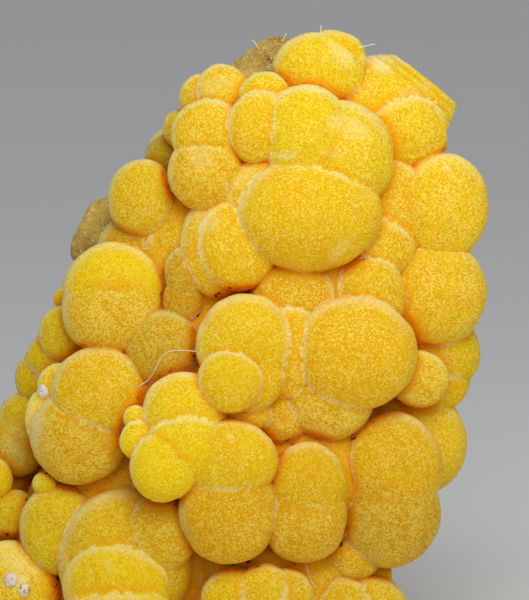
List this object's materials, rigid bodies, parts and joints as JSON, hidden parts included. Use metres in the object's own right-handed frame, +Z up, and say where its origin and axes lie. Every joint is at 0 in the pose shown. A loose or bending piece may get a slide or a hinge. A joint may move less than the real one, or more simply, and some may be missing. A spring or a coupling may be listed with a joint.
{
  "type": "mimetite specimen",
  "caption": "Upright mineral specimen: fused yellow botryoidal domes crusted on a brown iron-oxide matrix, with small clear crystals, standing on a flat cut base.",
  "frame": {"origin": "middle of the bounding box at the level of the flat cut base", "axes": "+Z up, +X to the right of the domed face, +Y away from the domed face, which faces -Y"},
  "size_m": [0.0266, 0.0182, 0.0317],
  "materials": {
    "mimetite": "velvety yellow mimetite with a fine crystal sparkle",
    "matrix": "rough brown iron oxide",
    "clear_crystal": "clear colourless crystal"
  },
  "bodies": {
    "root": {"mimetite_crust": "mimetite", "iron_oxide_matrix": "matrix", "clear_crystal_upper": "clear_crystal", "clear_crystals_lower": "clear_crystal"}
  },
  "joints": []
}
